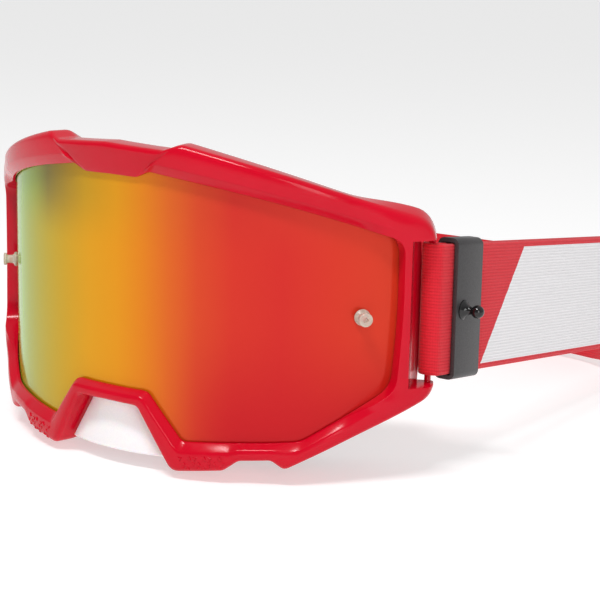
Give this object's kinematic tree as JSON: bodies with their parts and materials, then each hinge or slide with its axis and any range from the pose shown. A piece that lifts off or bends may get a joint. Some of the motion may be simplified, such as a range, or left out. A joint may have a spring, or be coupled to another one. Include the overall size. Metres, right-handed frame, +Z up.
{
  "type": "motorcycle goggles",
  "caption": "Off-road goggles: mirrored cylindrical lens in an angular one-piece frame, layered face foam, nose guard and an adjustable elastic strap with side keepers.",
  "frame": {"origin": "middle of the face opening, where the foam meets the face, on the plane of symmetry", "axes": "+Z up, the lens faces -Y, +X is the wearer's left and the two sides mirror across X = 0"},
  "size_m": [0.2046, 0.243, 0.1094],
  "materials": {
    "frame": "glossy moulded polyurethane",
    "lens": "mirror-coated polycarbonate",
    "guard": "smooth soft moulding",
    "foam": "open-cell foam",
    "fleece": "brushed fleece",
    "strap": "woven elastic",
    "silicone": "translucent silicone",
    "clear": "clear plastic",
    "clip": "fine-textured moulding"
  },
  "bodies": {
    "frame_body": {"frame": "frame", "lens": "lens", "foam_base": "foam", "foam_middle": "foam", "foam_fleece": "fleece", "tear_off_post_left": "clear", "tear_off_post_right": "clear", "post_button_left": "clip", "post_button_right": "clip"},
    "guard_body": {"nose_guard": "guard"},
    "strap_body": {"strap_band": "strap", "grip_strip_upper": "silicone", "grip_strip_middle": "silicone", "grip_strip_lower": "silicone"},
    "clip_left_body": {"strap_clip_left": "clip", "clip_stud_left": "clip"},
    "clip_right_body": {"strap_clip_right": "clip", "clip_stud_right": "clip"},
    "adjuster_left_body": {"strap_adjuster_left": "clip"},
    "adjuster_right_body": {"strap_adjuster_right": "clip"}
  },
  "joints": [
    {"name": "strap_tilt", "type": "hinge", "parent": "frame_body", "child": "strap_body", "pos_m": [0, 0.0157, 0.0053], "axis": [1, 0, 0], "range_deg": [-1.5, 1.5]},
    {"name": "nose_guard_pull", "type": "slide", "parent": "frame_body", "child": "guard_body", "axis": [0, 0, -1], "range_m": [0, 0.022]},
    {"name": "clip_slide_left", "type": "slide", "parent": "strap_body", "child": "clip_left_body", "axis": [0, 0.9936, -0.1133], "range_m": [0, 0.02]},
    {"name": "clip_slide_right", "type": "slide", "parent": "strap_body", "child": "clip_right_body", "axis": [0, 0.9936, -0.1133], "range_m": [0, 0.02]},
    {"name": "adjuster_slide_left", "type": "slide", "parent": "strap_body", "child": "adjuster_left_body", "axis": [-1, 0, 0], "range_m": [0, 0.01]},
    {"name": "adjuster_slide_right", "type": "slide", "parent": "strap_body", "child": "adjuster_right_body", "axis": [1, 0, 0], "range_m": [0, 0.01]}
  ]
}
